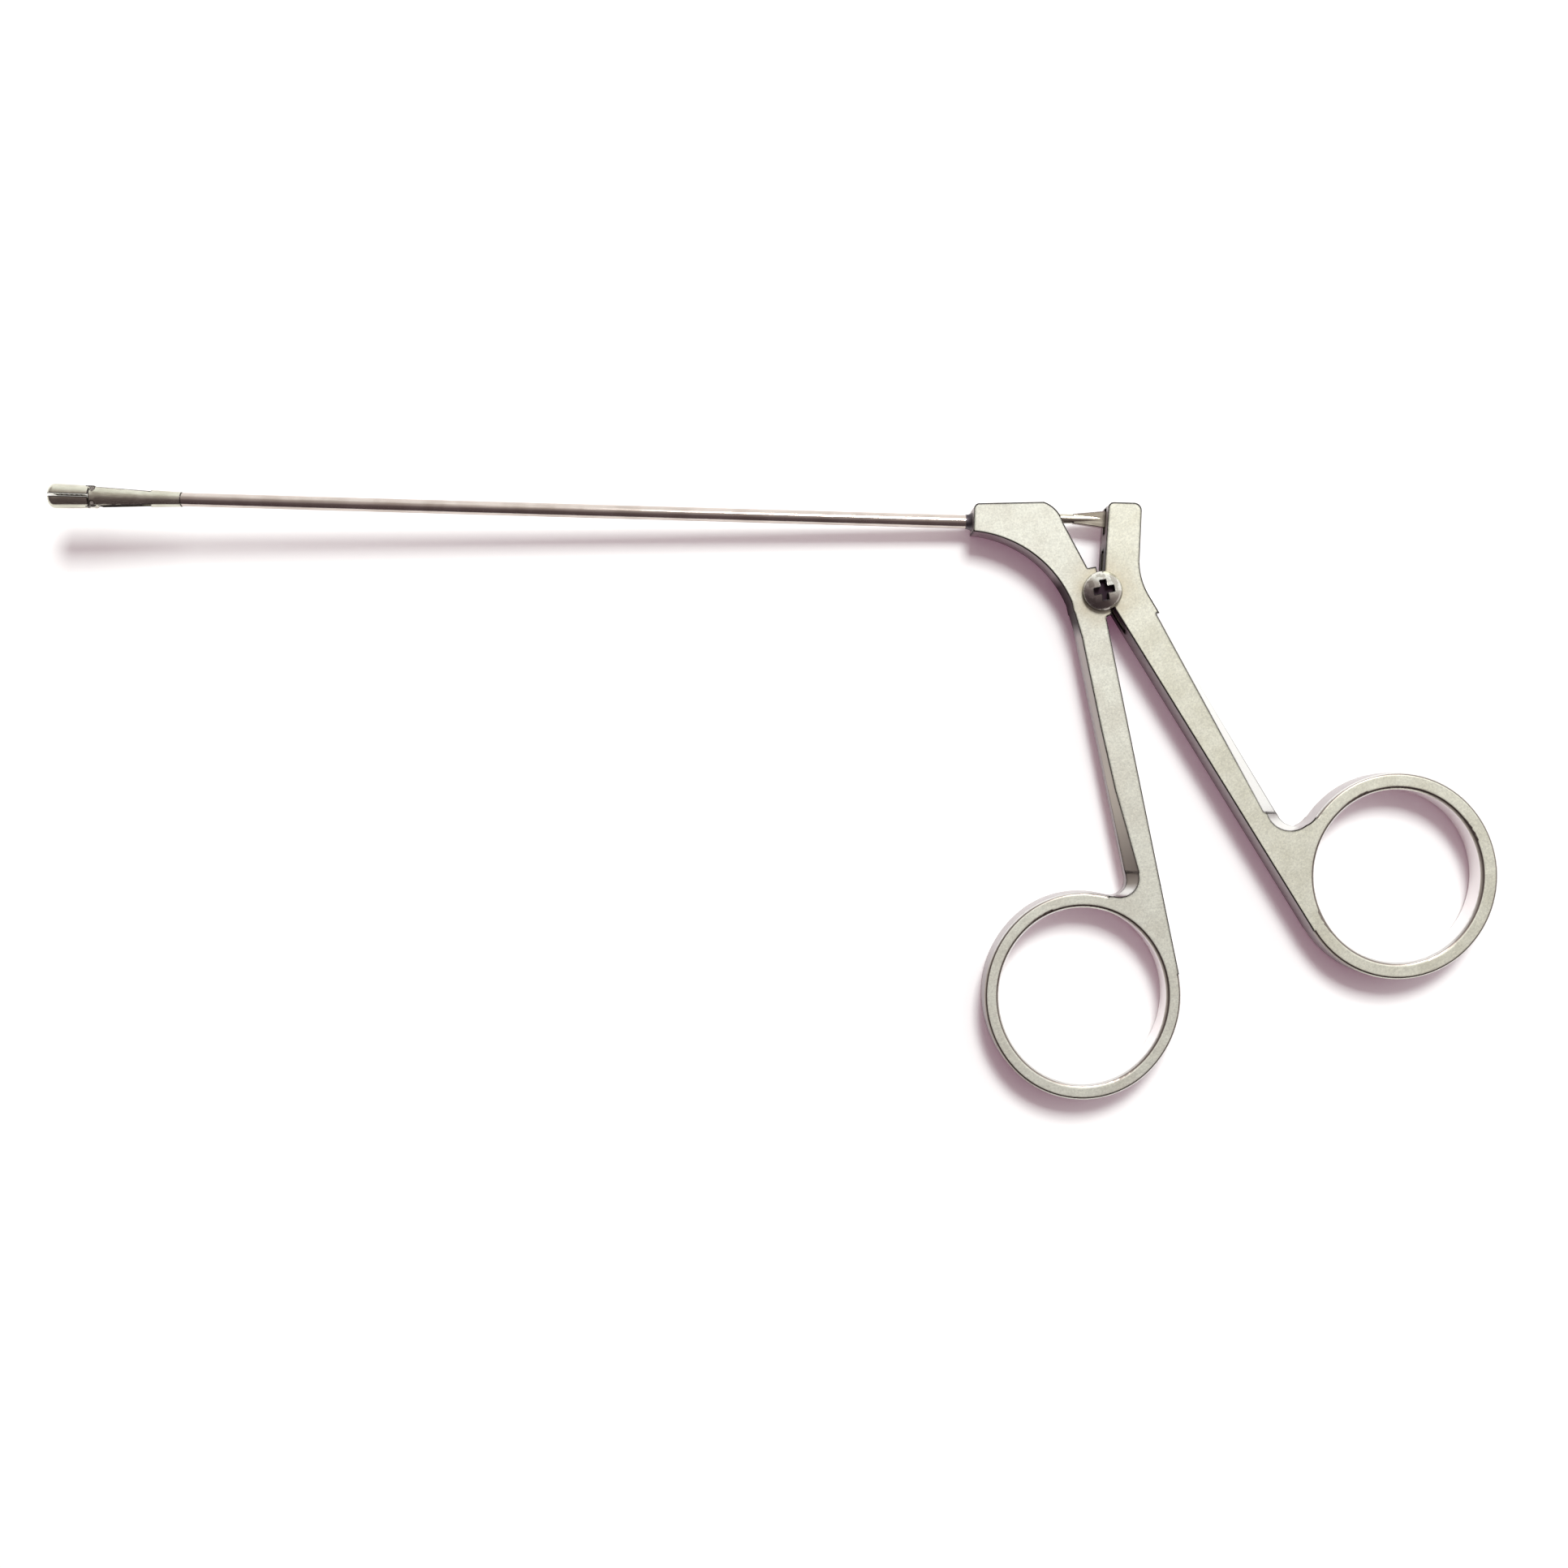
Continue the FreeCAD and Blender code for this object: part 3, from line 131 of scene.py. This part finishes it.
add(tree, "ShaderNodeOutputMaterial", ("Surface", paper_surface.outputs[0]))
paper_mesh.materials.append(paper_look)

# Handles: two flat castings of stainless steel, each with its ring, bar and block or lever in
# one piece. The faces are ground and blasted to a satin cream sheen, the sides are painted darker
# as shade, and old oil has dried tan round the pivot screw.
patch_scale, speck_scale, pit_scale = 260.0, 4200.0, 1500.0


def brushing_group():
    """Brush lines, cloudy patches, fine specks and pits, from a place on the steel."""
    group = bpy.data.node_groups.new("brushing", "ShaderNodeTree")
    for name, kind in (("Vector", "NodeSocketVector"), ("Line Scale", "NodeSocketFloat"),
                       ("Stretch", "NodeSocketFloat")):
        group.interface.new_socket(name=name, in_out="INPUT", socket_type=kind)
    for name in ("Lines", "Patches", "Specks", "Pits"):
        group.interface.new_socket(name=name, in_out="OUTPUT", socket_type="NodeSocketFloat")
    given = group.nodes.new("NodeGroupInput")
    place = given.outputs["Vector"]
    apart = add(group, "ShaderNodeSeparateXYZ", (0, place))
    drawn_out = add(group, "ShaderNodeMath", (0, apart.outputs["X"]),
                    (1, given.outputs["Stretch"]), operation="DIVIDE")
    along = add(group, "ShaderNodeCombineXYZ", ("X", drawn_out.outputs[0]),
                ("Y", apart.outputs["Y"]), ("Z", apart.outputs["Z"]))
    lines = add(group, "ShaderNodeTexNoise", ("Vector", along.outputs[0]),
                ("Scale", given.outputs["Line Scale"]), ("Detail", 3.0), ("Roughness", 0.6))
    patches = add(group, "ShaderNodeTexNoise", ("Vector", place), ("Scale", patch_scale),
                  ("Detail", 2.5))
    specks = add(group, "ShaderNodeTexNoise", ("Vector", place), ("Scale", speck_scale),
                 ("Detail", 2.0), ("Roughness", 0.7))
    pits = add(group, "ShaderNodeTexVoronoi", ("Vector", place), ("Scale", pit_scale))
    pit = add(group, "ShaderNodeMapRange", ("Value", pits.outputs["Distance"]),
              ("From Min", 0.02), ("From Max", 0.16), ("To Min", 1.0), ("To Max", 0.0))
    add(group, "NodeGroupOutput", ("Lines", lines.outputs["Fac"]),
        ("Patches", patches.outputs["Fac"]), ("Specks", specks.outputs["Fac"]),
        ("Pits", pit.outputs[0]))
    return group


def edge_line_group():
    """A mask for the painted edge lines, from how far the rounded normal leans off the true one.
    """
    group = bpy.data.node_groups.new("edge_line", "ShaderNodeTree")
    for name in ("True Normal", "Rounded Normal"):
        group.interface.new_socket(name=name, in_out="INPUT", socket_type="NodeSocketVector")
    for name in ("Edge", "Match"):
        group.interface.new_socket(name=name, in_out="OUTPUT", socket_type="NodeSocketFloat")
    given = group.nodes.new("NodeGroupInput")
    match = add(group, "ShaderNodeVectorMath", (0, given.outputs["True Normal"]),
                (1, given.outputs["Rounded Normal"]), operation="DOT_PRODUCT")
    edge = add(group, "ShaderNodeMapRange", ("Value", match.outputs["Value"]),
               ("From Min", 0.955), ("From Max", 0.985), ("To Min", 1.0), ("To Max", 0.0))
    add(group, "NodeGroupOutput", ("Edge", edge.outputs[0]), ("Match", match.outputs["Value"]))
    return group


brushing = brushing_group()
edge_line = edge_line_group()
# The Mix node's sockets have the same names for numbers and for colours, so they go by place.
under_number, over_number, mixed_number = 2, 3, 0
under_colour, over_colour, mixed_colour = 6, 7, 2


def times(tree, first, second):
    """The product of two masks or values."""
    return add(tree, "ShaderNodeMath", (0, first), (1, second), operation="MULTIPLY").outputs[0]


def ramp(tree, value, low, high):
    """A mask that goes from 0 where the value is low to 1 where it is high."""
    return add(tree, "ShaderNodeMapRange", ("Value", value), ("From Min", low),
               ("From Max", high)).outputs[0]


def steel(name, light, dark, edge, rough, rough_spread, turn=0.0, lines=9000.0, stretch=14.0,
          bump=0.25, edge_round=0.00018, line_wide=0.00018, speck=0.0):
    """A steel finish: brushed grain, cloudy tint, specks, pits, and painted edge lines in the edge
    colour, dark as shade on most finishes and light as highlight on the solder.
    """
    look = bpy.data.materials.new(name)
    look.use_nodes = True
    tree = look.node_tree
    shader = tree.nodes["Principled BSDF"]
    shader.inputs["Metallic"].default_value = 1.0
    place = add(tree, "ShaderNodeTexCoord").outputs["Object"]
    turned = add(tree, "ShaderNodeMapping", ("Vector", place),
                 ("Rotation", (0.0, 0.0, math.radians(turn))))
    grain = add(tree, "ShaderNodeGroup", node_tree=brushing)
    tree.links.new(turned.outputs[0], grain.inputs["Vector"])
    grain.inputs["Line Scale"].default_value = lines
    grain.inputs["Stretch"].default_value = stretch
    tint = add(tree, "ShaderNodeMix", ("Factor", ramp(tree, grain.outputs["Patches"], 0.36, 0.60)),
               (under_colour, (*dark, 1.0)), (over_colour, (*light, 1.0)), data_type="RGBA")
    streaks = add(tree, "ShaderNodeMapRange", ("Value", grain.outputs["Lines"]),
                  ("From Min", 0.30), ("From Max", 0.70), ("To Min", 0.91), ("To Max", 1.05))
    specks = add(tree, "ShaderNodeMapRange", ("Value", grain.outputs["Specks"]),
                 ("From Min", 0.30), ("From Max", 0.70), ("To Min", 1.0 - speck),
                 ("To Max", 1.0 + speck))
    streaked = add(tree, "ShaderNodeMix", ("Factor", 1.0),
                   (under_colour, tint.outputs[mixed_colour]),
                   (over_colour, times(tree, streaks.outputs[0], specks.outputs[0])),
                   data_type="RGBA", blend_type="MULTIPLY")
    rounded = add(tree, "ShaderNodeBevel", ("Radius", edge_round), samples=8)
    flat = add(tree, "ShaderNodeNewGeometry")
    leaning = add(tree, "ShaderNodeBevel", ("Radius", line_wide), samples=8)
    # Painted edge lines, in the edge colour, stand for the shade on the rounded edges.
    painted_edge = add(tree, "ShaderNodeGroup", node_tree=edge_line, name="painted_edge")
    tree.links.new(flat.outputs["Normal"], painted_edge.inputs["True Normal"])
    tree.links.new(leaning.outputs[0], painted_edge.inputs["Rounded Normal"])
    edges = add(tree, "ShaderNodeMix", ("Factor", painted_edge.outputs["Edge"]),
                (under_colour, streaked.outputs[mixed_colour]), (over_colour, (*edge, 1.0)),
                data_type="RGBA", name="edges")
    tree.links.new(edges.outputs[mixed_colour], shader.inputs["Base Color"])
    gloss = add(tree, "ShaderNodeMapRange", ("Value", grain.outputs["Lines"]),
                ("From Min", 0.30), ("From Max", 0.70), ("To Min", rough - rough_spread),
                ("To Max", rough + rough_spread))
    tree.links.new(gloss.outputs[0], shader.inputs["Roughness"])
    pitted = add(tree, "ShaderNodeMath", (0, grain.outputs["Pits"]), (1, -0.4),
                 (2, grain.outputs["Lines"]), operation="MULTIPLY_ADD")
    raised = add(tree, "ShaderNodeBump", ("Strength", bump), ("Distance", 0.00002),
                 ("Height", pitted.outputs[0]), ("Normal", rounded.outputs[0]))
    tree.links.new(raised.outputs[0], shader.inputs["Normal"])
    return look


def finish_node(name, look):
    """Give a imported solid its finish."""
    mesh = nodes[name].data
    mesh.materials.clear()
    mesh.materials.append(look)


def tint_over(look, mask, colour, rough=None):
    """Lay a colour, and a roughness, over a finish where the mask is 1, under its edge lines."""
    tree = look.node_tree
    edges = tree.nodes["edges"]
    below = edges.inputs[under_colour].links[0].from_socket
    over = add(tree, "ShaderNodeMix", ("Factor", mask), (under_colour, below),
               (over_colour, (*colour, 1.0)), data_type="RGBA")
    tree.links.new(over.outputs[mixed_colour], edges.inputs[under_colour])
    if rough is not None:
        roughness = tree.nodes["Principled BSDF"].inputs["Roughness"]
        over = add(tree, "ShaderNodeMix", ("Factor", mask),
                   (under_number, roughness.links[0].from_socket), (over_number, rough),
                   data_type="FLOAT")
        tree.links.new(over.outputs[mixed_number], roughness)


def near_axis(tree, axis, inner, outer):
    """A mask that is 1 inside a radius round an upright axis and 0 outside another."""
    place = add(tree, "ShaderNodeTexCoord").outputs["Object"]
    flat = add(tree, "ShaderNodeVectorMath", (0, place), (1, (1.0, 1.0, 0.0)),
               operation="MULTIPLY")
    away = add(tree, "ShaderNodeVectorMath", (0, flat.outputs[0]), (1, (*axis, 0.0)),
               operation="DISTANCE")
    return ramp(tree, away.outputs["Value"], outer, inner), place


pivot = (0.01815, -0.0095)
stain_full, stain_gone = 0.0029, 0.0056
pivot_shadow_full, pivot_shadow_gone = 0.0056, 0.0070
bore_full, bore_gone = 0.0127, 0.0133
slope_starts, slope_full = 0.93, 0.86
satin_more = 0.38
dried_oil = (0.50, 0.44, 0.32)
bore_highlight = (0.90, 0.86, 0.86)
side_shade = (0.42, 0.38, 0.385)
deep_shade = (0.05, 0.04, 0.04)
rounding_shade = (0.21, 0.18, 0.16)
for piece, light, dark, grain_turn, ring in (
        ("finger_handle", (0.665, 0.67, 0.60), (0.615, 0.61, 0.54), -12.0, (0.01711, -0.0660)),
        ("thumb_handle", (0.67, 0.67, 0.585), (0.615, 0.61, 0.52), -35.0, (0.06058, -0.0480))):
    look = steel(piece + "_steel", light=light, dark=dark, edge=(0.030, 0.024, 0.022),
                 rough=0.27, rough_spread=0.05, turn=grain_turn, edge_round=0.00016,
                 line_wide=0.00055, speck=0.13)
    tree = look.node_tree
    roughness = tree.nodes["Principled BSDF"].inputs["Roughness"]
    facing = add(tree, "ShaderNodeSeparateXYZ",
                 (0, add(tree, "ShaderNodeTexCoord").outputs["Normal"]))
    level = add(tree, "ShaderNodeMath", (0, facing.outputs["Z"]), operation="ABSOLUTE").outputs[0]
    # The flat faces are satin and the slopes and sides shine more.
    satin = add(tree, "ShaderNodeMath", (0, ramp(tree, level, slope_starts, 0.99)),
                (1, satin_more), (2, roughness.links[0].from_socket), operation="MULTIPLY_ADD")
    tree.links.new(satin.outputs[0], roughness)
    near, where = near_axis(tree, pivot, stain_full, stain_gone)
    cloud = add(tree, "ShaderNodeTexNoise", ("Vector", where), ("Scale", 700.0), ("Detail", 4.0))
    tint_over(look, times(tree, near, cloud.outputs["Fac"]), dried_oil)
    # Slopes on the block side of each bar are rougher and painted darker as shade, and the outer
    # sides are painted darker as shade too. Slopes on the other side are glossier, and they, the
    # slopes facing +y and the bores of the rings are painted lighter as highlight.
    sloping = ramp(tree, level, slope_starts, slope_full)
    for towards, starts, full, colour, rough in (
            ("X", -0.15, -0.45, (0.48, 0.44, 0.39), 0.52),
            ("X", 0.15, 0.45, (0.73, 0.73, 0.71), 0.20),
            ("Y", 0.15, 0.45, (0.80, 0.80, 0.78), 0.30)):
        slope = times(tree, sloping, ramp(tree, facing.outputs[towards], starts, full))
        tint_over(look, slope, colour, rough=rough)
    upright = ramp(tree, level, 0.40, 0.20)
    bore = times(tree, upright, near_axis(tree, ring, bore_full, bore_gone)[0])
    side = add(tree, "ShaderNodeMath", (0, upright), (1, bore), operation="SUBTRACT").outputs[0]
    # The bore walls get a painted highlight and the other sides painted shade.
    tint_over(look, bore, bore_highlight)
    tint_over(look, side, side_shade)
    # The slopes meet the sides at a slight angle, and a painted dark line of shade runs there.
    lip = times(tree, sloping, ramp(tree, tree.nodes["painted_edge"].outputs["Match"], 0.990, 0.972))
    tint_over(look, lip, deep_shade)
    # A painted dark line of shade runs where the flat face turns into the rounding of its edge.
    rounding = times(tree, ramp(tree, level, 0.975, 0.955), ramp(tree, level, 0.76, 0.82))
    tint_over(look, rounding, rounding_shade)
    # The sides round the pivot are painted dark as deep shade, and rougher.
    pivot_shadow = times(tree, side, near_axis(tree, pivot, pivot_shadow_full, pivot_shadow_gone)[0])
    tint_over(look, pivot_shadow, deep_shade, rough=0.5)
    finish_node(piece, look)

# Pivot screw: turned and polished stainless, with a pan head and a pressed cross recess that
# is painted dark as shade. It passes through the finger handle's tongue, and its thread is in the
# far cheek of the thumb handle.
screw_steel = steel("screw_steel", light=(0.82, 0.82, 0.75), dark=(0.62, 0.61, 0.56),
                    edge=(0.05, 0.045, 0.045), rough=0.11, rough_spread=0.04, lines=2600.0,
                    stretch=1.0, bump=0.35, edge_round=0.00012, line_wide=0.00022)
recess_radius, recess_fade = 0.0016, 0.00165
recess_top, recess_floor = 0.00415, 0.00395
towards_rings = (0.35, -0.94, 0.0)
smudge_shade = (0.47, 0.45, 0.40)
shaded_rim = (0.38, 0.35, 0.32)
recess_shade = (0.035, 0.022, 0.03)
tree = screw_steel.node_tree
near, where = near_axis(tree, pivot, recess_radius, recess_fade)
height = add(tree, "ShaderNodeSeparateXYZ", (0, where)).outputs["Z"]
recess = times(tree, near, ramp(tree, height, recess_top, recess_floor))
smudges = add(tree, "ShaderNodeTexNoise", ("Vector", where), ("Scale", 850.0), ("Detail", 3.0))
tint_over(screw_steel, ramp(tree, smudges.outputs["Fac"], 0.50, 0.58), smudge_shade)
rim_facing = add(tree, "ShaderNodeVectorMath",
                 (0, add(tree, "ShaderNodeTexCoord").outputs["Normal"]), (1, towards_rings),
                 operation="DOT_PRODUCT").outputs["Value"]
tint_over(screw_steel, ramp(tree, rim_facing, 0.15, 0.45), shaded_rim)
# The cross recess is painted dark as shade.
tint_over(screw_steel, recess, recess_shade, rough=0.6)
finish_node("pivot_screw", screw_steel)

# Shaft tube: the long thin tube that carries the head and hides the drive rod. It is drawn
# stainless steel, polished along its length and soldered into the block.
tube_steel = steel("tube_steel", light=(0.68, 0.61, 0.56), dark=(0.58, 0.51, 0.46),
                   edge=(0.36, 0.32, 0.30), rough=0.16, rough_spread=0.04, lines=7000.0,
                   stretch=40.0, bump=0.10)
finish_node("shaft_tube", tube_steel)

# Head and jaws: the slotted taper head on the tube's far end and the two jaws that swing in it.
# They are turned and milled stainless steel, with painted dark lines of shade along the edges in
# the slots and round the teeth.
head_steel = steel("head_steel", light=(0.72, 0.72, 0.61), dark=(0.58, 0.57, 0.47),
                   edge=(0.04, 0.03, 0.035), rough=0.19, rough_spread=0.05, lines=6000.0,
                   stretch=6.0, bump=0.12, edge_round=0.0001, line_wide=0.00025)
for piece in ("jaw_head", "upper_jaw", "lower_jaw"):
    finish_node(piece, head_steel)

# Solder: the small cone that seals the tube where it leaves the block. It was run round the
# tube while molten and is dull, and it is painted near black as the shade round the tube's root,
# with lighter painted lines along its edges as highlight.
solder = steel("shaded_solder", light=(0.16, 0.14, 0.15), dark=(0.07, 0.06, 0.07),
               edge=(0.25, 0.22, 0.22), rough=0.48, rough_spread=0.10, lines=3000.0,
               stretch=1.0, bump=0.5, edge_round=0.0001)
finish_node("tube_collar", solder)

# Drive rod: the rod inside the tube, with its flattened rear end and the yoke on its front
# end. It is drawn stainless wire with milled ends, and has a warm cast.
rod_steel = steel("rod_steel", light=(0.62, 0.59, 0.50), dark=(0.44, 0.40, 0.32),
                  edge=(0.06, 0.045, 0.045), rough=0.22, rough_spread=0.05, lines=6000.0,
                  stretch=20.0, bump=0.2, edge_round=0.0001, line_wide=0.00025)
for piece in ("drive_rod", "rod_end", "drive_yoke"):
    finish_node(piece, rod_steel)

# Cross pins: the rod's pin in the thumb handle, the two that the jaws swing on, and the one in
# the yoke that drives them. They are cut steel wire, pressed in and dressed flush.
pin_steel = steel("pin_steel", light=(0.62, 0.60, 0.56), dark=(0.46, 0.43, 0.40),
                  edge=(0.20, 0.17, 0.16), rough=0.30, rough_spread=0.06, lines=5000.0,
                  stretch=1.0, bump=0.2, edge_round=0.00005)
for piece in ("rod_pin", "upper_jaw_pin", "lower_jaw_pin", "drive_pin"):
    finish_node(piece, pin_steel)
